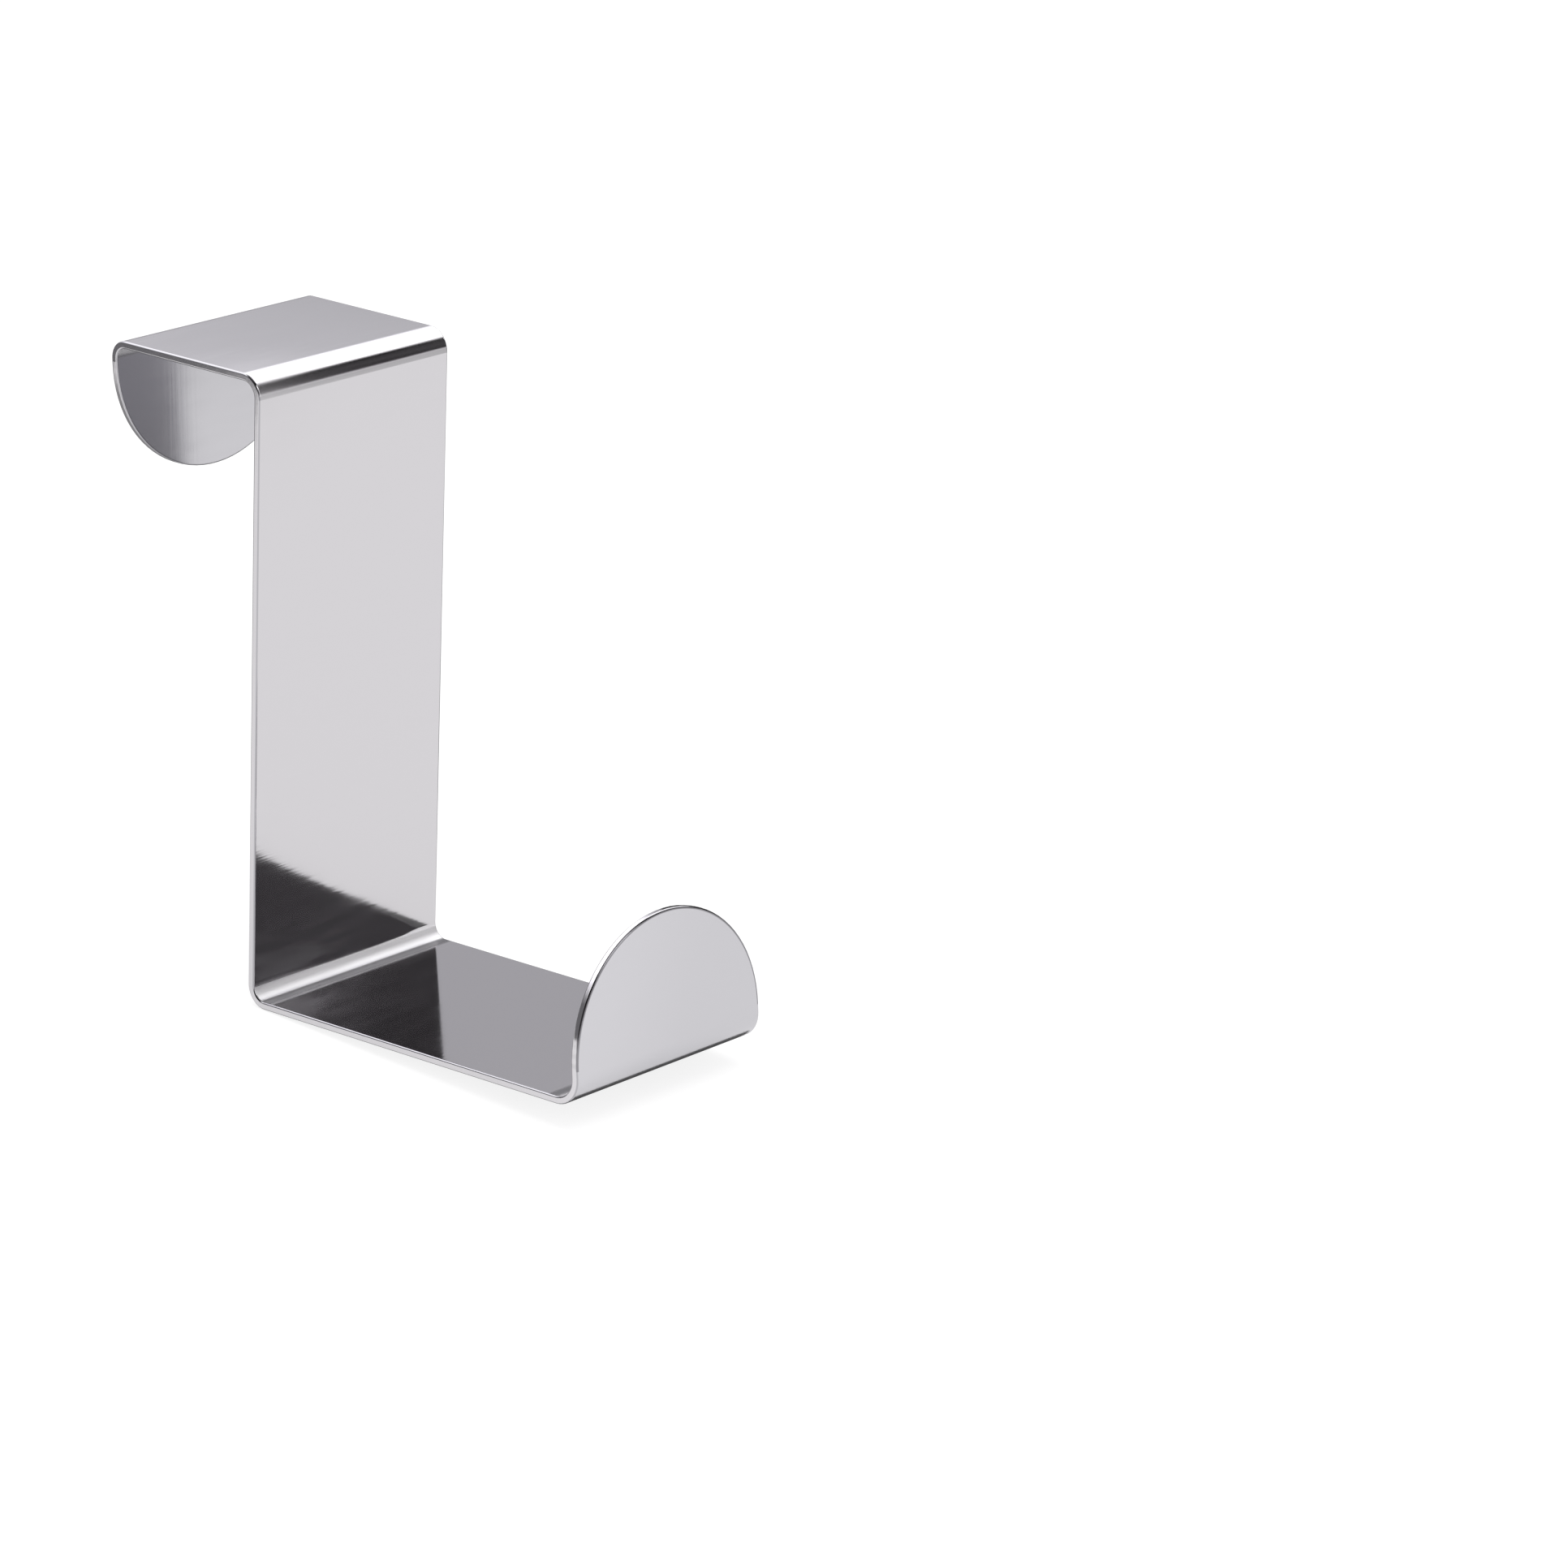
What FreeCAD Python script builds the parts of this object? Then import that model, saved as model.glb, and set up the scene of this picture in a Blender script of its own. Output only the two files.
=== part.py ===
import FreeCAD, Part
import math
import os

# Over door hook, folded from one strip of polished stainless sheet. All sizes are in millimetres.
#
# The strip starts behind the door in a half-round tongue, crosses the door's top edge as a short
# flat web, runs down the door's face as a long plate, folds forward into a shelf and ends in a
# second half-round tongue that keeps a load on the shelf. Turned end for end it fits a thicker door.
#
# X runs across the strip, -Y is the side that the shelf points to, +Y is the door's side and +Z is
# up. The origin is the middle of the web's underside, which bears on the door's top edge.

# The sheet that the strip is cut from
strip_width = 27.0
sheet_thickness = 0.8
edge_break = 0.2               # radius that tumbling leaves on both corners of a cut edge

# Clear length between one fold's sharp inside corner and the next
door_gap = 20.5                # along the web's underside, from the plate to the back tongue
plate_drop = 66.8              # down the plate, from the web's underside to the shelf's upper face
shelf_depth = 46.2             # along the shelf's upper face, from the plate to the front tongue

# Inside radius of each fold
back_fold_radius = 1.2
top_fold_radius = 1.6
foot_fold_radius = 1.5
front_fold_radius = 2.3

# Degrees that each fold is closed past a right angle, so that the hook grips what it holds
back_fold_closing = 0.5
top_fold_closing = 2.0
foot_fold_closing = 3.4
front_fold_closing = 2.0

# Straight part of each tongue, between its fold and its half-round end
back_tongue_straight = 0.4
front_tongue_straight = 0.9

TOWARDS, AWAY = 1, -1          # a fold closes towards the side that the strip faces, or away from it


def turn_of(closing):
    """Degrees that the strip turns through at a fold."""
    return 90 + closing


def setback(inside_radius, closing):
    """How much of a clear length a fold's inside radius takes up."""
    return inside_radius * math.tan(math.radians(turn_of(closing)) / 2)


class Strip:
    """A length of sheet laid down flat by flat and fold by fold, from the origin outwards.

    place is the middle of the running end's section, heading is the way that the strip runs, and
    facing is the normal of the broad face that starts out uppermost.
    """

    def __init__(self, heading, facing):
        self.place = facing * (sheet_thickness / 2)
        self.heading = heading
        self.facing = facing
        self.solids = []

    def section(self):
        """The strip's rectangular section at the running end."""
        across = FreeCAD.Vector(strip_width / 2, 0, 0)
        up = self.facing * (sheet_thickness / 2)
        corners = [self.place - across - up, self.place + across - up,
                   self.place + across + up, self.place - across + up]
        return Part.Face(Part.makePolygon(corners + corners[:1]))

    def flat(self, length):
        """Runs straight on."""
        self.solids.append(self.section().extrude(self.heading * length))
        self.place = self.place + self.heading * length

    def fold(self, inside_radius, closing, side):
        """Turns the section about the axis of a fold."""
        inward = self.facing * side
        centre = self.place + inward * (inside_radius + sheet_thickness / 2)
        axis = self.heading.cross(inward)
        self.solids.append(self.section().revolve(centre, axis, turn_of(closing)))
        spin = FreeCAD.Rotation(axis, turn_of(closing))
        self.place = centre + spin.multVec(self.place - centre)
        self.heading = spin.multVec(self.heading)
        self.facing = spin.multVec(self.facing)

    def half_round(self, straight):
        """Ends the strip in a tongue as wide as the strip, with a full half-round tip."""
        across = FreeCAD.Vector(strip_width / 2, 0, 0)
        root = self.place - self.facing * (sheet_thickness / 2)
        shoulder = root + self.heading * straight
        tip = shoulder + self.heading * (strip_width / 2)
        outline = Part.Wire([
            Part.makeLine(root - across, shoulder - across),
            Part.Arc(shoulder - across, tip, shoulder + across).toShape(),
            Part.makeLine(shoulder + across, root + across),
            Part.makeLine(root + across, root - across),
        ])
        self.solids.append(Part.Face(outline).extrude(self.facing * sheet_thickness))


def is_cut_face(face):
    """True for a face left by cutting the strip out, false for a broad face of the sheet."""
    lies_along_x = abs(face.Surface.Axis.x) > 0.5
    return lies_along_x == isinstance(face.Surface, Part.Plane)


def cut_corners(solid):
    """The edges where a cut face meets a broad face."""
    return [edge for edge in solid.Edges
            if len({is_cut_face(face) for face in solid.ancestorsOfType(edge, Part.Face)}) == 2]


def hook():
    """The whole folded strip, as one solid."""
    # The web slopes down to the back by the top fold's closing, which leaves the plate upright.
    slope = math.radians(top_fold_closing)
    forward = FreeCAD.Vector(0, -math.cos(slope), math.sin(slope))
    upward = FreeCAD.Vector(0, math.sin(slope), math.cos(slope))

    back_setback = setback(back_fold_radius, back_fold_closing)
    top_setback = setback(top_fold_radius, top_fold_closing)
    foot_setback = setback(foot_fold_radius, foot_fold_closing)
    front_setback = setback(front_fold_radius, front_fold_closing)
    web_flat = door_gap - back_setback - top_setback

    front = Strip(forward, upward)
    front.flat(web_flat / 2)
    front.fold(top_fold_radius, top_fold_closing, AWAY)
    front.flat(plate_drop - top_setback - foot_setback)
    front.fold(foot_fold_radius, foot_fold_closing, TOWARDS)
    front.flat(shelf_depth - foot_setback - front_setback)
    front.fold(front_fold_radius, front_fold_closing, TOWARDS)
    front.half_round(front_tongue_straight)

    back = Strip(-forward, upward)
    back.flat(web_flat / 2)
    back.fold(back_fold_radius, back_fold_closing, AWAY)
    back.half_round(back_tongue_straight)

    first, *others = front.solids + back.solids
    sheet = first.multiFuse(others).removeSplitter()
    return sheet.makeFillet(edge_break, cut_corners(sheet))


os.makedirs("parts", exist_ok=True)
hook().exportStep("parts/hook.step")
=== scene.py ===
import math

import bpy
from mathutils import Matrix, Vector


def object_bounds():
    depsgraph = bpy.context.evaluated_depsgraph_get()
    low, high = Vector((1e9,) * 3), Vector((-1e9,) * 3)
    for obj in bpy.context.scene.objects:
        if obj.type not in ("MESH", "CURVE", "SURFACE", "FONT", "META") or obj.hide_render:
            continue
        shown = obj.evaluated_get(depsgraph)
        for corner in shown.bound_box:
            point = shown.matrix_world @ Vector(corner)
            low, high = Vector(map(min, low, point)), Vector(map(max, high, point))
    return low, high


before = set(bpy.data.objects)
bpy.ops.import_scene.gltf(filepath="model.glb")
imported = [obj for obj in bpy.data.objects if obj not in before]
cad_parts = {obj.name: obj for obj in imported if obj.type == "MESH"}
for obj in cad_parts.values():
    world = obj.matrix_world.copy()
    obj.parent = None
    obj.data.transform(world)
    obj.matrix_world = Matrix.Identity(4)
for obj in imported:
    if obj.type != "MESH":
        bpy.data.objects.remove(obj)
cad_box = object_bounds()


# The hook: one strip of stainless steel sheet, blanked with a half-round at each end and tumbled,
# which takes the burr off its cut edges. One side of the sheet is polished before the strip is
# folded four times in the press, so the polish runs unbroken over the flats and round the folds.
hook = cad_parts["hook"]
mm = 0.001


def linear(hex_colour):
    """An sRGB hex colour as linear red, green and blue, with full alpha."""
    channels = [int(hex_colour[i:i + 2], 16) / 255 for i in (1, 3, 5)]
    return [c / 12.92 if c <= 0.04045 else ((c + 0.055) / 1.055) ** 2.4 for c in channels] + [1.0]


def add_node(tree, kind, inputs=None, **settings):
    """Adds a node with its settings. An input is a value, an output, or a node for its first output."""
    node = tree.nodes.new(kind)
    for name, value in settings.items():
        setattr(node, name, value)
    for name, value in (inputs or {}).items():
        if isinstance(value, bpy.types.Node):
            value = value.outputs[0]
        if isinstance(value, bpy.types.NodeSocket):
            tree.links.new(value, node.inputs[name])
        else:
            node.inputs[name].default_value = value
    return node


# Polished stainless steel, close to a mirror that softens what it shows with distance. The polished
# side is web top, plate front and shelf top; the other side is as it left the mill, a little duller.
# Tumbled cut edges are as bright as the polished side, and the die has dulled the inside of each fold.
stainless = bpy.data.materials.new("polished_stainless_steel")
stainless.use_nodes = True
steel = stainless.node_tree
steel.nodes.clear()

polished_colour = linear("#D8D6D9")
mill_colour = linear("#CFCED2")
polished_roughness = 0.08
mill_roughness = 0.15
tumbled_roughness = 0.10

place = add_node(steel, "ShaderNodeTexCoord").outputs["Object"]
place_mm = add_node(steel, "ShaderNodeVectorMath", {0: place, "Scale": 1 / mm}, operation="SCALE")
along = add_node(steel, "ShaderNodeSeparateXYZ", {0: place_mm}).outputs
normal = add_node(steel, "ShaderNodeNewGeometry").outputs["Normal"]
facing = add_node(steel, "ShaderNodeSeparateXYZ", {0: normal}).outputs

# The polished side faces up, or to the front on the plate, or to the back on both tongues. The plate
# is in the zone within 20 mm of Y -20, where back_or_front is -1. It is 1 elsewhere.
zone_middle = -20.0
zone_reach = 20.0
side_blend = 0.1
plate_zone = add_node(steel, "ShaderNodeMath", {0: along["Y"], 1: zone_middle, 2: zone_reach},
                      operation="COMPARE")
back_or_front = add_node(steel, "ShaderNodeMath", {0: plate_zone, 1: -2.0, 2: 1.0}, operation="MULTIPLY_ADD")
side = add_node(steel, "ShaderNodeMath", {0: facing["Y"], 1: back_or_front, 2: facing["Z"]},
                operation="MULTIPLY_ADD")
on_polished = add_node(steel, "ShaderNodeMapRange", {
    "Value": side, "From Min": -side_blend, "From Max": side_blend,
})
side_roughness = add_node(steel, "ShaderNodeMapRange", {
    "Value": on_polished, "To Min": mill_roughness, "To Max": polished_roughness,
})

# Along the strip, the cut edges face sideways. Tumbling leaves them as bright as the polished side.
sideways = add_node(steel, "ShaderNodeMath", {0: facing["X"]}, operation="ABSOLUTE")
on_edge = add_node(steel, "ShaderNodeMapRange", {"Value": sideways, "From Min": 0.8, "From Max": 0.95})
edge_roughness = add_node(steel, "ShaderNodeMapRange", {
    "Value": on_edge, "To Min": side_roughness, "To Max": tumbled_roughness,
})
bright = add_node(steel, "ShaderNodeMath", {0: on_polished, 1: on_edge}, operation="MAXIMUM")
sheet_colour = add_node(steel, "ShaderNodeMixRGB", {
    "Fac": bright, "Color1": mill_colour, "Color2": polished_colour,
})

# A fold's middle is a line along X, at this Y and Z, and its inner face lies round that line at the
# inside radius. The die has left a faint haze on the flats next to each fold. The inner face and the
# painted shade in its crease are found by how far past the inside radius they reach, in mm.
haze_width = 6.0
haze_roughness = 0.02
face_reach = 0.05
crease_shade_full = 0.12
crease_shade_reach = 0.32
section_place = add_node(steel, "ShaderNodeVectorMath", {0: place_mm, 1: (0.0, 1.0, 1.0)},
                         operation="MULTIPLY")
in_fold = 0.0
by_fold = 0.0
hazy_roughness = edge_roughness
for middle_y, middle_z, inside_radius in (
    (8.77, -1.51, 1.2),        # web to back tongue
    (-8.87, -1.29, 1.6),       # web to plate
    (-12.77, -64.84, 1.5),     # plate to shelf
    (-54.87, -61.54, 2.3),     # shelf to front tongue
):
    fold_distance = add_node(steel, "ShaderNodeVectorMath", {0: section_place, 1: (0.0, middle_y, middle_z)},
                             operation="DISTANCE").outputs["Value"]
    inner_face = add_node(steel, "ShaderNodeMapRange", {
        "Value": fold_distance, "From Min": inside_radius, "From Max": inside_radius + face_reach,
        "To Min": 1.0, "To Max": 0.0,
    })
    next_to_it = add_node(steel, "ShaderNodeMapRange", {
        "Value": fold_distance, "To Min": 1.0, "To Max": 0.0,
        "From Min": inside_radius + crease_shade_full, "From Max": inside_radius + crease_shade_reach,
    })
    haze = add_node(steel, "ShaderNodeMapRange", {
        "Value": fold_distance, "From Min": inside_radius, "From Max": inside_radius + haze_width,
        "To Min": haze_roughness, "To Max": 0.0,
    })
    in_fold = add_node(steel, "ShaderNodeMath", {0: in_fold, 1: inner_face}, operation="MAXIMUM")
    by_fold = add_node(steel, "ShaderNodeMath", {0: by_fold, 1: next_to_it}, operation="MAXIMUM")
    hazy_roughness = add_node(steel, "ShaderNodeMath", {0: hazy_roughness, 1: haze}, operation="ADD")

# The die scuffs the inner face from about 8 degrees past upright to 3 short of level. The metal that
# it lays bare scatters light, and its paler colour is partly a painted highlight. Painted shade lies in
# the crease, on the last 16 degrees before level and on the flat's first millimetre.
scuff_and_highlight_colour = linear("#F0EFF1")
crease_shade_colour = linear("#8E8D90")
die_roughness = 0.36
crease_shade_roughness = 0.18
upright = add_node(steel, "ShaderNodeMath", {0: facing["Y"]}, operation="ABSOLUTE")
level_face = add_node(steel, "ShaderNodeMath", {0: facing["Z"]}, operation="ABSOLUTE")
past_upright = add_node(steel, "ShaderNodeMapRange", {
    "Value": level_face, "From Min": 0.14, "From Max": 0.42,
})
not_level = add_node(steel, "ShaderNodeMapRange", {"Value": upright, "From Min": 0.05, "From Max": 0.15})
bent = add_node(steel, "ShaderNodeMath", {0: past_upright, 1: not_level}, operation="MULTIPLY")
scuffed = add_node(steel, "ShaderNodeMath", {0: in_fold, 1: bent}, operation="MULTIPLY")
folded_roughness = add_node(steel, "ShaderNodeMath", {0: scuffed, 1: die_roughness, 2: hazy_roughness},
                            operation="MULTIPLY_ADD")
# Painted shade in the crease: a darker grey on the level face where it meets the fold.
crease_shade_facing = add_node(steel, "ShaderNodeMapRange", {
    "Value": level_face, "From Min": 0.96, "From Max": 0.998,
})
crease_shade_mask = add_node(steel, "ShaderNodeMath", {0: by_fold, 1: crease_shade_facing}, operation="MULTIPLY")
creased_roughness = add_node(steel, "ShaderNodeMath", {0: crease_shade_mask, 1: crease_shade_roughness, 2: folded_roughness},
                           operation="MULTIPLY_ADD")
# Partly a painted highlight: the scuffed inner fold is paler than the sheet.
scuffed_highlight_colour = add_node(steel, "ShaderNodeMixRGB", {
    "Fac": scuffed, "Color1": sheet_colour, "Color2": scuff_and_highlight_colour,
})
# The crease's painted shade goes into the colour here.
folded_colour = add_node(steel, "ShaderNodeMixRGB", {
    "Fac": crease_shade_mask, "Color1": scuffed_highlight_colour, "Color2": crease_shade_colour,
})

# On a tongue the reach to the cut edge is measured from the middle of its half-round, which lies at
# this Y and Z and points down at the back and up at the front. Elsewhere it is measured along X.
half_width = 13.5
tongue_half_depth = 1.8
tip_half_length = 7.0
reach = add_node(steel, "ShaderNodeMath", {0: along["X"]}, operation="ABSOLUTE")
for tongue_y, tongue_z, points in ((10.35, -1.97, -1), (-57.48, -60.40, 1)):
    at_tongue = add_node(steel, "ShaderNodeMath", {0: along["Y"], 1: tongue_y, 2: tongue_half_depth},
                         operation="COMPARE")
    past_middle = add_node(steel, "ShaderNodeMath", {
        0: along["Z"], 1: tongue_z + tip_half_length * points, 2: tip_half_length,
    }, operation="COMPARE")
    on_half_round = add_node(steel, "ShaderNodeMath", {0: at_tongue, 1: past_middle}, operation="MULTIPLY")
    from_middle = add_node(steel, "ShaderNodeVectorMath", {0: place_mm, 1: (0.0, tongue_y, tongue_z)},
                           operation="DISTANCE").outputs["Value"]
    reach = add_node(steel, "ShaderNodeMapRange", {
        "Value": on_half_round, "To Min": reach, "To Max": from_middle,
    })
on_front_tongue = on_half_round

# The two rounded corners of the cut edge are the last 0.2 mm before it. Their grey is a painted dark
# reflection, darker and 0.1 mm wider on the front tongue, which sticks out.
rim_reflection_grey = linear("#B4B3B7")
tongue_rim_reflection_grey = linear("#8E8D91")
tongue_rim_reflection_extra = 0.1
grey_starts = 0.2
grey_full = 0.12
grey_fades = 0.03
grey_ends = 0.005
rim_reach = add_node(steel, "ShaderNodeMath", {0: on_front_tongue, 1: tongue_rim_reflection_extra, 2: reach},
                     operation="MULTIPLY_ADD")
near_edge = add_node(steel, "ShaderNodeMapRange", {
    "Value": rim_reach, "From Min": half_width - grey_starts, "From Max": half_width - grey_full,
})
before_edge = add_node(steel, "ShaderNodeMapRange", {
    "Value": reach, "From Min": half_width - grey_fades, "From Max": half_width - grey_ends,
    "To Min": 1.0, "To Max": 0.0,
})
# The painted dark reflection along both rims of the cut edge.
corner = add_node(steel, "ShaderNodeMath", {0: near_edge, 1: before_edge}, operation="MULTIPLY")
rim_reflection_tone = add_node(steel, "ShaderNodeMixRGB", {
    "Fac": on_front_tongue, "Color1": rim_reflection_grey, "Color2": tongue_rim_reflection_grey,
})
colour = add_node(steel, "ShaderNodeMixRGB", {
    "Fac": corner, "Color1": folded_colour, "Color2": rim_reflection_tone,
})

# Smudges, drawn out across the strip by the polishing belt: 8 mm long and 1.2 mm wide.
smudge_length = 8.0
smudge_width = 1.2
clear_roughness = -0.01
smudge_roughness = 0.02
cloud_place = add_node(steel, "ShaderNodeVectorMath", {
    0: place_mm, 1: (1 / smudge_length, 1 / smudge_width, 1 / smudge_width),
}, operation="MULTIPLY")
cloud = add_node(steel, "ShaderNodeTexNoise", {"Vector": cloud_place, "Scale": 1.0, "Detail": 3.0})
smudge = add_node(steel, "ShaderNodeMapRange", {
    "Value": cloud, "From Min": 0.35, "From Max": 0.7, "To Min": clear_roughness, "To Max": smudge_roughness,
})
smudged_roughness = add_node(steel, "ShaderNodeMath", {0: creased_roughness, 1: smudge}, operation="ADD")

# Hands that reach over the shelf leave a haze low down on the left of the plate's front, in streaks.
hand_roughness = 0.105
hand_foot = -64.5
hand_top = -58.0
plate_front = add_node(steel, "ShaderNodeMapRange", {
    "Value": facing["Y"], "From Min": -0.9, "From Max": -0.98,
})
hand_height = add_node(steel, "ShaderNodeMapRange", {
    "Value": along["Z"], "From Min": hand_foot, "From Max": hand_top, "To Min": hand_roughness, "To Max": 0.0,
})
hand_streak = add_node(steel, "ShaderNodeMapRange", {
    "Value": cloud, "From Min": 0.4, "From Max": 0.55, "To Min": 0.4, "To Max": 1.0,
})
hand_left = add_node(steel, "ShaderNodeMapRange", {
    "Value": along["X"], "From Min": -3.0, "From Max": 4.0, "To Min": 1.0, "To Max": 0.0,
})
hand_mark = add_node(steel, "ShaderNodeMath", {0: hand_height, 1: hand_streak}, operation="MULTIPLY")
hand_side = add_node(steel, "ShaderNodeMath", {0: hand_left, 1: hand_mark}, operation="MULTIPLY")
hand_on_front = add_node(steel, "ShaderNodeMath", {0: plate_front, 1: hand_side}, operation="MULTIPLY")
hand_haze = add_node(steel, "ShaderNodeMath", {0: hand_on_front, 1: plate_zone}, operation="MULTIPLY")
handled_roughness = add_node(steel, "ShaderNodeMath", {0: smudged_roughness, 1: hand_haze}, operation="ADD")

# A dull patch where a thumb presses, on the left end of the top fold. It stops short of the edge.
thumb_place = (-13.5, -10.8, -1.0)
thumb_reach = 14.0
thumb_roughness = 0.12
thumb_distance = add_node(steel, "ShaderNodeVectorMath", {0: place_mm, 1: thumb_place}, operation="DISTANCE")
thumb_print = add_node(steel, "ShaderNodeMapRange", {
    "Value": thumb_distance.outputs["Value"], "From Max": thumb_reach,
    "To Min": thumb_roughness, "To Max": 0.0,
})
off_edge = add_node(steel, "ShaderNodeMapRange", {
    "Value": sideways, "From Min": 0.1, "From Max": 0.4, "To Min": 1.0, "To Max": 0.0,
})
thumb_mark = add_node(steel, "ShaderNodeMath", {0: thumb_print, 1: off_edge}, operation="MULTIPLY")
worn_roughness = add_node(steel, "ShaderNodeMath", {0: handled_roughness, 1: thumb_mark}, operation="ADD")

# Lines of the polishing belt run across the strip, and those of the mill's rolls along its other side.
# Real ones are 0.03 mm apart and can't show at this size, so they are drawn about ten times as coarse.
line_length = 20.0
line_spacing = 0.4
line_depth = 0.003 * mm
belt_place = add_node(steel, "ShaderNodeVectorMath", {
    0: place_mm, 1: (1 / line_length, 1 / line_spacing, 1 / line_spacing),
}, operation="MULTIPLY")
belt_lines = add_node(steel, "ShaderNodeTexNoise", {"Vector": belt_place, "Scale": 1.0, "Detail": 2.0})
mill_place = add_node(steel, "ShaderNodeVectorMath", {
    0: place_mm, 1: (1 / line_spacing, 1 / line_length, 1 / line_length),
}, operation="MULTIPLY")
mill_lines = add_node(steel, "ShaderNodeTexNoise", {"Vector": mill_place, "Scale": 1.0, "Detail": 2.0})
lines = add_node(steel, "ShaderNodeMapRange", {
    "Value": on_polished, "To Min": mill_lines, "To Max": belt_lines,
})
relief = add_node(steel, "ShaderNodeBump", {"Height": lines, "Distance": line_depth})

skin = add_node(steel, "ShaderNodeBsdfPrincipled", {
    "Base Color": colour, "Metallic": 1.0, "Roughness": worn_roughness, "Normal": relief,
})
add_node(steel, "ShaderNodeOutputMaterial", {"Surface": skin})
hook.material_slots[0].material = stainless


# The floor: a sheet of white card, level with the hook's lowest line. The camera sees it white with
# the hook's soft shadow on it. The steel sees painted light on it: full at the left and in front, most
# of all before the front tongue, duller to the back right and far off, painted dark under the shelf.
floor_half_side = 3.0
floor_gap = 0.05 * mm
floor_height = cad_box[0][2] - floor_gap
floor_corners = [
    (x * floor_half_side, y * floor_half_side, floor_height)
    for x, y in ((-1, -1), (1, -1), (1, 1), (-1, 1))
]
floor_mesh = bpy.data.meshes.new("floor")
floor_mesh.from_pydata(floor_corners, [], [(0, 1, 2, 3)])
floor = bpy.data.objects.new("floor", floor_mesh)
bpy.context.scene.collection.objects.link(floor)

white_card = bpy.data.materials.new("white_card")
white_card.use_nodes = True
card = white_card.node_tree
card.nodes.clear()
far_light = 0.64
right_light = 0.34
front_light = 1.08
shelf_shade = 0.12
ray = add_node(card, "ShaderNodeLightPath").outputs
spot = add_node(card, "ShaderNodeTexCoord").outputs["Object"]
spot_along = add_node(card, "ShaderNodeSeparateXYZ", {0: spot}).outputs
distance = add_node(card, "ShaderNodeVectorMath", {0: spot}, operation="LENGTH")
nearness = add_node(card, "ShaderNodeMapRange", {
    "Value": distance.outputs["Value"], "From Min": 0.26, "From Max": 0.42,
    "To Min": 1.0, "To Max": far_light,
})
to_back_right = add_node(card, "ShaderNodeMath", {0: spot_along["X"], 1: spot_along["Y"]}, operation="ADD")
in_light = add_node(card, "ShaderNodeMapRange", {
    "Value": to_back_right, "From Min": 0.07, "From Max": 0.24, "To Min": 1.0, "To Max": right_light,
}, interpolation_type="SMOOTHSTEP")
right_of_hook = add_node(card, "ShaderNodeMapRange", {
    "Value": to_back_right, "From Min": 0.014, "From Max": 0.02,
})
beside_shelf = add_node(card, "ShaderNodeMapRange", {
    "Value": spot_along["Y"], "From Min": -0.07, "From Max": -0.06,
})
shaded_patch = add_node(card, "ShaderNodeMath", {0: right_of_hook, 1: beside_shelf}, operation="MULTIPLY")
patch_light = add_node(card, "ShaderNodeMapRange", {
    "Value": shaded_patch, "To Min": in_light, "To Max": right_light,
})
lit = add_node(card, "ShaderNodeMath", {0: nearness, 1: patch_light}, operation="MULTIPLY")

shade_x = 1.5 * mm
shade_y = -34 * mm
shade_half_width = 15 * mm
shade_half_depth = 23 * mm
under_wide = add_node(card, "ShaderNodeMath", {0: spot_along["X"], 1: shade_x, 2: shade_half_width},
                      operation="COMPARE")
under_deep = add_node(card, "ShaderNodeMath", {0: spot_along["Y"], 1: shade_y, 2: shade_half_depth},
                      operation="COMPARE")
under_shelf = add_node(card, "ShaderNodeMath", {0: under_wide, 1: under_deep}, operation="MULTIPLY")

# The painted light is fullest beyond a slanting line on the card, in front of the front tongue and to its
# left.
slant = 1.143
across_slant = add_node(card, "ShaderNodeMath", {0: spot_along["Y"], 1: slant, 2: spot_along["X"]},
                        operation="MULTIPLY_ADD")
fullest = add_node(card, "ShaderNodeMapRange", {
    "Value": across_slant, "From Min": -0.08, "From Max": -0.066, "To Min": front_light, "To Max": 1.0,
})
lit_most = add_node(card, "ShaderNodeMath", {0: lit, 1: fullest}, operation="MULTIPLY")
covered = add_node(card, "ShaderNodeMapRange", {
    "Value": under_shelf, "To Min": lit_most, "To Max": shelf_shade,
})
level = add_node(card, "ShaderNodeMapRange", {
    "Value": ray["Is Camera Ray"], "To Min": covered, "To Max": 1.0,
})

# The card's paper takes the shadow. A glow mixed in keeps it white to the camera, and keeps the shadow
# faint there and in the steel.
camera_glow_share = 0.7
camera_glow_extra = 0.2
mirror_glow_share = 0.6
paper_colour = add_node(card, "ShaderNodeMixRGB", {
    "Fac": 1.0, "Color1": linear("#F2F2F2"), "Color2": level,
}, blend_type="MULTIPLY")
paper = add_node(card, "ShaderNodeBsdfDiffuse", {"Color": paper_colour})
glow_strength = add_node(card, "ShaderNodeMath", {0: ray["Is Camera Ray"], 1: camera_glow_extra, 2: 1.0},
                         operation="MULTIPLY_ADD")
glow_level = add_node(card, "ShaderNodeMath", {0: level, 1: glow_strength}, operation="MULTIPLY")
glow = add_node(card, "ShaderNodeEmission", {"Strength": glow_level})
camera_share = add_node(card, "ShaderNodeMath", {0: ray["Is Camera Ray"], 1: camera_glow_share},
                        operation="MULTIPLY")
mirror_share = add_node(card, "ShaderNodeMath", {0: ray["Is Glossy Ray"], 1: mirror_glow_share},
                        operation="MULTIPLY")
glow_share = add_node(card, "ShaderNodeMath", {0: camera_share, 1: mirror_share}, operation="MAXIMUM")
card_mix = add_node(card, "ShaderNodeMixShader", {0: glow_share, 1: paper, 2: glow})
add_node(card, "ShaderNodeOutputMaterial", {"Surface": card_mix})
floor_mesh.materials.append(white_card)


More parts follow.
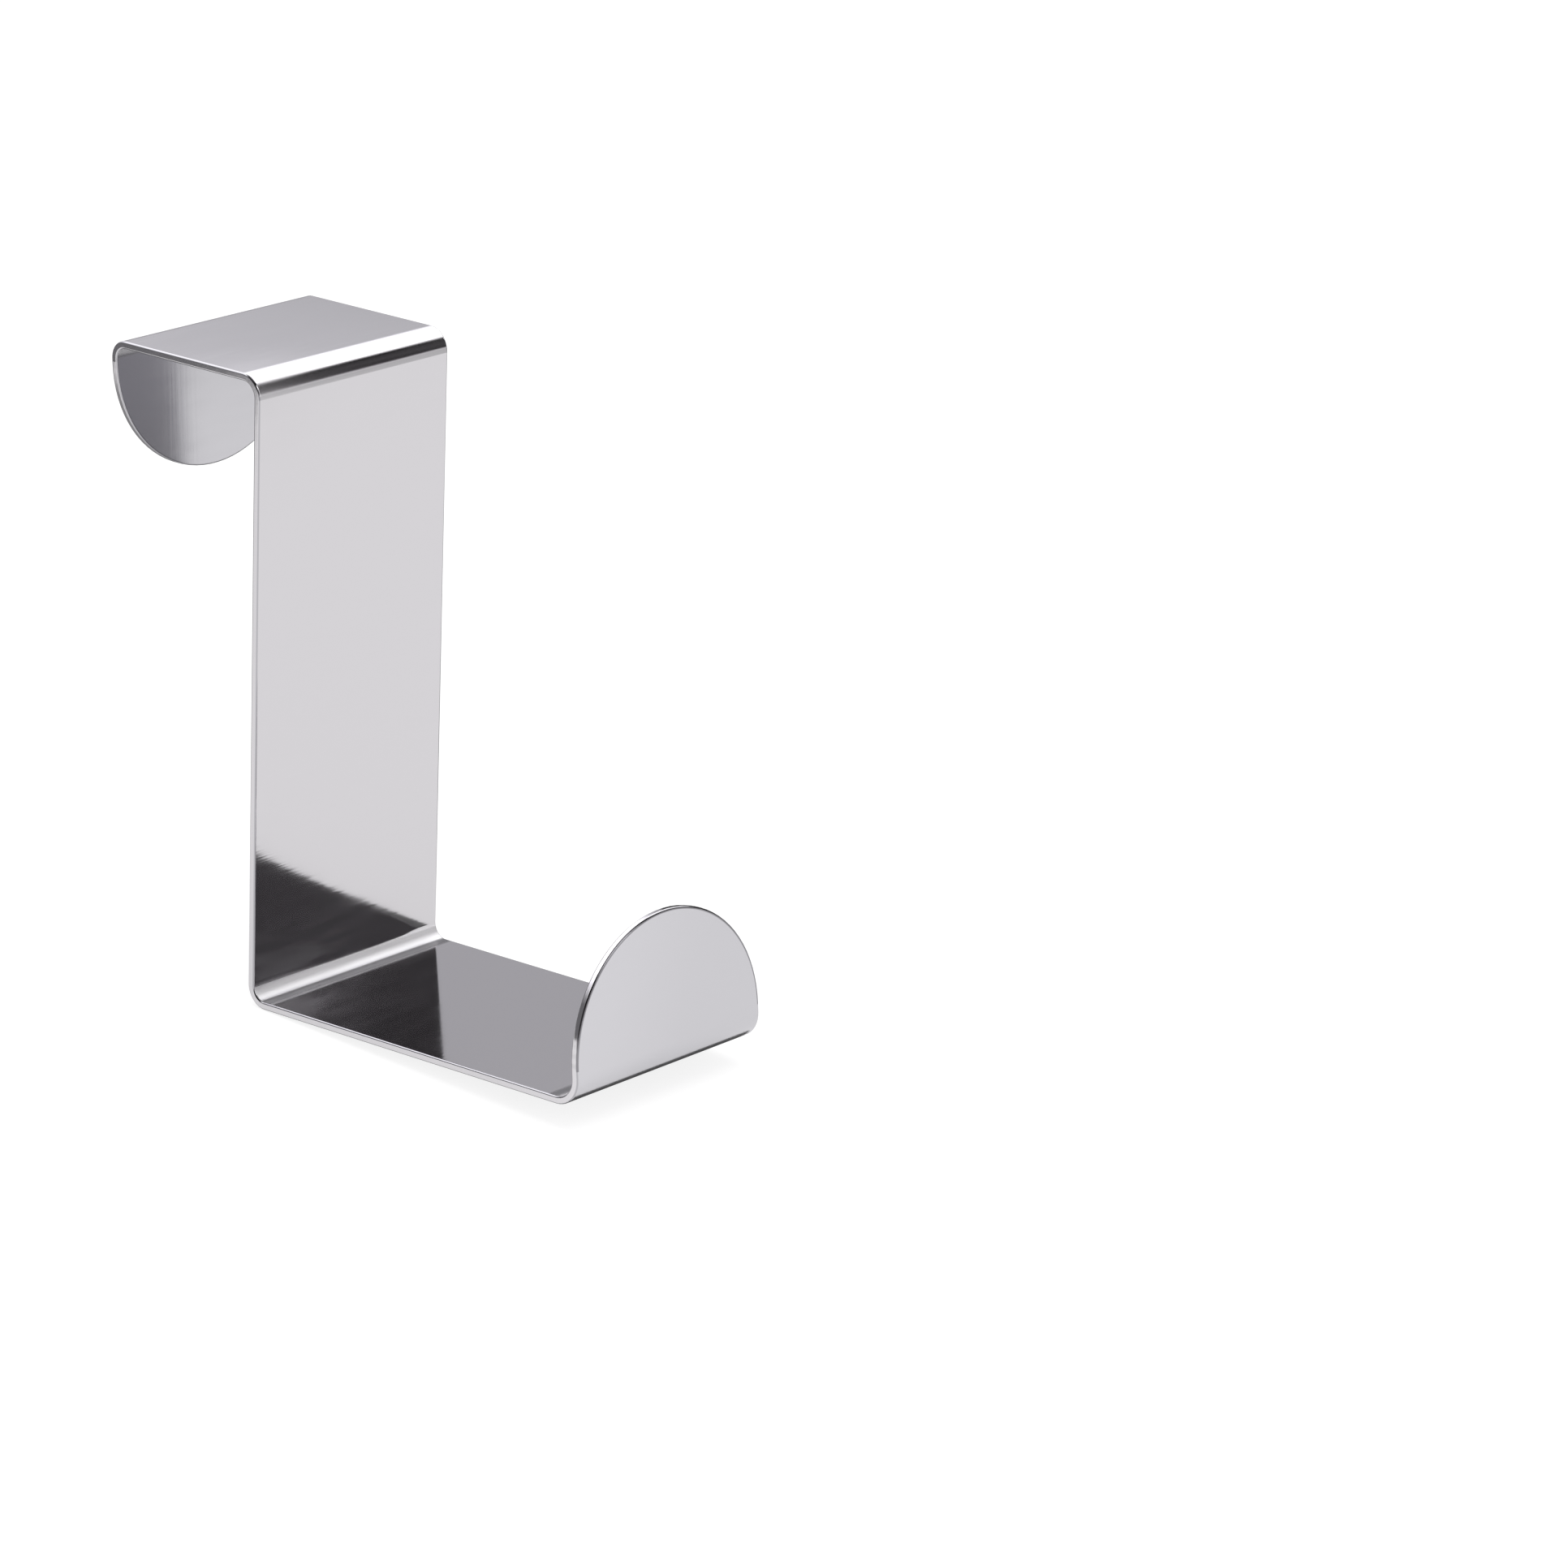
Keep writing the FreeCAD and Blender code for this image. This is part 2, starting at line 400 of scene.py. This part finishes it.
# The backdrop: a low card close behind the hook. Only the steel sees it. It is dark grey on the left
# and mid grey on the right, brightens upwards to the softbox, most of all in the middle, with a faint
# band at the foot of the bright part, and is nearly black at its far right end.
backdrop_y = 150 * mm
backdrop_half_width = 1.0
backdrop_height = 186 * mm
backdrop_top = floor_height + backdrop_height
backdrop_corners = [
    (x * backdrop_half_width, backdrop_y, z)
    for x, z in ((-1, floor_height), (1, floor_height), (1, backdrop_top), (-1, backdrop_top))
]
backdrop_mesh = bpy.data.meshes.new("backdrop")
backdrop_mesh.from_pydata(backdrop_corners, [], [(0, 1, 2, 3)])
backdrop = bpy.data.objects.new("backdrop", backdrop_mesh)
bpy.context.scene.collection.objects.link(backdrop)
for unseen_by in ("camera", "diffuse", "transmission", "volume_scatter", "shadow"):
    setattr(backdrop, "visible_" + unseen_by, False)

# The card glows for the steel alone, so its glow isn't one of the studio's lamps.
lit_card = bpy.data.materials.new("lit_card")
lit_card.use_nodes = True
lit_card.cycles.emission_sampling = "NONE"
behind = lit_card.node_tree
behind.nodes.clear()
left_grey = 0.18
right_grey = 0.5
end_grey = 0.05
top_glow = 2.5
band_glow = 0.05
droop = -0.3
card_along = add_node(behind, "ShaderNodeSeparateXYZ", {
    0: add_node(behind, "ShaderNodeTexCoord").outputs["Object"],
}).outputs
card_side = add_node(behind, "ShaderNodeMath", {0: card_along["X"]}, operation="ABSOLUTE")
card_tilt = add_node(behind, "ShaderNodeMath", {0: card_side, 1: droop, 2: card_along["Z"]},
                     operation="MULTIPLY_ADD")
card_rise = add_node(behind, "ShaderNodeMapRange", {
    "Value": card_tilt, "From Min": floor_height + 55 * mm, "From Max": floor_height + 202 * mm,
    "To Min": 0.0, "To Max": top_glow,
}, interpolation_type="SMOOTHSTEP")
card_grey = add_node(behind, "ShaderNodeMapRange", {
    "Value": card_along["X"], "From Min": -0.02, "From Max": 0.04, "To Min": left_grey, "To Max": right_grey,
})
band_foot = add_node(behind, "ShaderNodeMapRange", {
    "Value": card_tilt, "From Min": floor_height + 59 * mm, "From Max": floor_height + 69 * mm,
})
band_top = add_node(behind, "ShaderNodeMapRange", {
    "Value": card_tilt, "From Min": floor_height + 71 * mm, "From Max": floor_height + 79 * mm,
    "To Min": band_glow, "To Max": 0.0,
})
card_band = add_node(behind, "ShaderNodeMath", {0: band_foot, 1: band_top, 2: card_grey},
                     operation="MULTIPLY_ADD")
card_shaded = add_node(behind, "ShaderNodeMath", {0: card_rise, 1: card_band}, operation="ADD")
far_right = add_node(behind, "ShaderNodeMapRange", {
    "Value": card_along["X"], "From Min": 0.203, "From Max": 0.213,
})
card_level = add_node(behind, "ShaderNodeMapRange", {
    "Value": far_right, "To Min": card_shaded, "To Max": end_grey,
})
card_glow = add_node(behind, "ShaderNodeEmission", {"Color": linear("#F9F8FD"), "Strength": card_level})
add_node(behind, "ShaderNodeOutputMaterial", {"Surface": card_glow})
backdrop_mesh.materials.append(lit_card)


# The room, as the steel sees it: dark, with a lit strip low down, a high window in front, a narrow
# glass door under its right end, a grey ceiling, and a long softbox high up from the front right round
# the back to the back left. The camera sees plain white.
studio = bpy.data.worlds.new("studio")
bpy.context.scene.world = studio
studio.use_nodes = True
air = studio.node_tree
air.nodes.clear()
sight = add_node(air, "ShaderNodeLightPath").outputs
sight_line = add_node(air, "ShaderNodeTexCoord").outputs["Generated"]
way = add_node(air, "ShaderNodeSeparateXYZ", {0: sight_line}).outputs
rise = add_node(air, "ShaderNodeMath", {0: way["Z"]}, operation="ARCSINE")
rise_degrees = add_node(air, "ShaderNodeMath", {0: rise, 1: 180 / math.pi}, operation="MULTIPLY")
turn = add_node(air, "ShaderNodeMath", {0: way["Y"], 1: way["X"]}, operation="ARCTAN2")
turn_degrees = add_node(air, "ShaderNodeMath", {0: turn, 1: 180 / math.pi}, operation="MULTIPLY")

# The walls' grey by direction, in degrees from the right side round to the back. They are palest in
# front, at -90, and above 38 degrees they have a tenth of their grey.
compass = add_node(air, "ShaderNodeMapRange", {"Value": turn_degrees, "From Min": -180.0, "From Max": 180.0})
room = add_node(air, "ShaderNodeValToRGB", {"Fac": compass})
room_levels = [(-180, 0.06), (-130, 0.06), (-90, 0.4), (-60, 0.4), (-49, 0.15), (-47, 0.033), (-46, 0.008),
               (-44.5, 0.09), (-43, 0.07), (-40, 0.055), (140, 0.03)]
stops = room.color_ramp.elements
stops.remove(stops[1])
for number, (degrees, grey) in enumerate(room_levels):
    position = (degrees + 180) / 360
    stop = stops[0] if number == 0 else stops.new(position)
    stop.position = position
    stop.color = (grey, grey, grey, 1.0)
high_wall_share = 0.1
wall_top = add_node(air, "ShaderNodeMapRange", {
    "Value": rise_degrees, "From Min": 28.0, "From Max": 38.0, "To Min": 1.0, "To Max": high_wall_share,
}, interpolation_type="SMOOTHSTEP")
walls = add_node(air, "ShaderNodeMath", {0: room, 1: wall_top}, operation="MULTIPLY")

strip_level = 0.6
ceiling_level = 0.4
low_strip = add_node(air, "ShaderNodeMapRange", {
    "Value": rise_degrees, "From Min": 2.0, "From Max": 8.0, "To Min": strip_level, "To Max": 0.0,
}, interpolation_type="SMOOTHSTEP")
ceiling = add_node(air, "ShaderNodeMapRange", {
    "Value": rise_degrees, "From Min": 58.0, "From Max": 75.0, "To Min": 0.0, "To Max": ceiling_level,
}, interpolation_type="SMOOTHSTEP")
over_and_under = add_node(air, "ShaderNodeMath", {0: low_strip, 1: ceiling}, operation="ADD")
room_light = add_node(air, "ShaderNodeMath", {0: walls, 1: over_and_under}, operation="ADD")

# Each edge of the window, the door and the softbox fades in from its first direction to its second.
window_level = 3.2
window_right = add_node(air, "ShaderNodeMapRange", {
    "Value": turn_degrees, "From Min": -63.0, "From Max": -67.0,
}, interpolation_type="SMOOTHSTEP")
window_left = add_node(air, "ShaderNodeMapRange", {
    "Value": turn_degrees, "From Min": -108.0, "From Max": -104.0,
}, interpolation_type="SMOOTHSTEP")
window_top = add_node(air, "ShaderNodeMapRange", {
    "Value": rise_degrees, "From Min": 54.0, "From Max": 48.0,
}, interpolation_type="SMOOTHSTEP")
window_sill = add_node(air, "ShaderNodeMapRange", {
    "Value": rise_degrees, "From Min": 30.0, "From Max": 36.0,
}, interpolation_type="SMOOTHSTEP")
window_wide = add_node(air, "ShaderNodeMath", {0: window_right, 1: window_left}, operation="MULTIPLY")
window_high = add_node(air, "ShaderNodeMath", {0: window_top, 1: window_sill}, operation="MULTIPLY")
window_seen = add_node(air, "ShaderNodeMath", {0: window_wide, 1: window_high}, operation="MULTIPLY")
windowed = add_node(air, "ShaderNodeMath", {0: window_seen, 1: window_level, 2: room_light},
                    operation="MULTIPLY_ADD")

door_level = 1.3
door_right = add_node(air, "ShaderNodeMapRange", {
    "Value": turn_degrees, "From Min": -54.0, "From Max": -57.0,
}, interpolation_type="SMOOTHSTEP")
door_left = add_node(air, "ShaderNodeMapRange", {
    "Value": turn_degrees, "From Min": -69.0, "From Max": -66.0,
}, interpolation_type="SMOOTHSTEP")
door_top = add_node(air, "ShaderNodeMapRange", {
    "Value": rise_degrees, "From Min": 36.0, "From Max": 30.0,
}, interpolation_type="SMOOTHSTEP")
door_wide = add_node(air, "ShaderNodeMath", {0: door_right, 1: door_left}, operation="MULTIPLY")
door_seen = add_node(air, "ShaderNodeMath", {0: door_wide, 1: door_top}, operation="MULTIPLY")
daylight = add_node(air, "ShaderNodeMath", {0: door_seen, 1: door_level, 2: windowed},
                    operation="MULTIPLY_ADD")

softbox_level = 2.0
softbox_near = add_node(air, "ShaderNodeMapRange", {
    "Value": turn_degrees, "From Min": -33.0, "From Max": -23.0,
}, interpolation_type="SMOOTHSTEP")
softbox_far = add_node(air, "ShaderNodeMapRange", {
    "Value": turn_degrees, "From Min": 146.0, "From Max": 138.0,
}, interpolation_type="SMOOTHSTEP")
softbox_foot = add_node(air, "ShaderNodeMapRange", {
    "Value": rise_degrees, "From Min": 21.0, "From Max": 27.0,
}, interpolation_type="SMOOTHSTEP")
softbox_top = add_node(air, "ShaderNodeMapRange", {
    "Value": rise_degrees, "From Min": 62.0, "From Max": 55.0,
}, interpolation_type="SMOOTHSTEP")
softbox_wide = add_node(air, "ShaderNodeMath", {0: softbox_near, 1: softbox_far}, operation="MULTIPLY")
softbox_high = add_node(air, "ShaderNodeMath", {0: softbox_foot, 1: softbox_top}, operation="MULTIPLY")
softbox_seen = add_node(air, "ShaderNodeMath", {0: softbox_wide, 1: softbox_high}, operation="MULTIPLY")
mirrored = add_node(air, "ShaderNodeMath", {0: softbox_seen, 1: softbox_level, 2: daylight},
                    operation="MULTIPLY_ADD")

# The card on the floor is lit by a plain level from all round, and only the steel sees the room.
plain_level = 0.65
unseen = add_node(air, "ShaderNodeMapRange", {
    "Value": sight["Is Glossy Ray"], "To Min": plain_level, "To Max": mirrored,
})
sky_level = add_node(air, "ShaderNodeMapRange", {
    "Value": sight["Is Camera Ray"], "To Min": unseen, "To Max": 1.0,
})
sky_colour = add_node(air, "ShaderNodeMixRGB", {
    "Fac": sky_level, "Color1": linear("#FFF9FF"), "Color2": linear("#FFFFFF"),
})
sky = add_node(air, "ShaderNodeBackground", {"Color": sky_colour, "Strength": sky_level})
add_node(air, "ShaderNodeOutputWorld", {"Surface": sky})


# The softbox's light on the floor: a square lamp over the hook, which gives it its soft shadow. The
# steel doesn't mirror the lamp, because the room already shows it the softbox.
softbox_light = bpy.data.lights.new("softbox", "AREA")
softbox_light.shape = "SQUARE"
softbox_light.size = 0.6
softbox_light.energy = 2.2
softbox = bpy.data.objects.new("softbox", softbox_light)
softbox.location = (0.1, -0.1, 0.6)
softbox.visible_glossy = False
softbox.visible_camera = False
bpy.context.scene.collection.objects.link(softbox)


# The camera: a long lens a little above the hook, turned to its front left corner. Its place,
# direction, roll and lens were fitted to the photograph.
camera_data = bpy.data.cameras.new("camera")
camera_data.sensor_width = 36.0
camera_data.lens = 147.339
camera_data.clip_start = 0.01
camera_data.clip_end = 20.0
camera = bpy.data.objects.new("camera", camera_data)
azimuth = math.radians(-48.7716)
elevation = math.radians(20.0040)
roll = math.radians(2.31995)
aim = Vector((29.4240, -46.1265, -43.4993)) * mm
aim_distance = 671.210 * mm
camera_turn = (
    Matrix.Rotation(azimuth, 3, "Z")
    @ Matrix.Rotation(math.radians(90) - elevation, 3, "X")
    @ Matrix.Rotation(roll, 3, "Z")
)
eye = aim + camera_turn.col[2] * aim_distance
camera.matrix_world = Matrix.Translation(eye) @ camera_turn.to_4x4()
bpy.context.scene.collection.objects.link(camera)
bpy.context.scene.camera = camera
bpy.context.scene.view_settings.view_transform = "Standard"
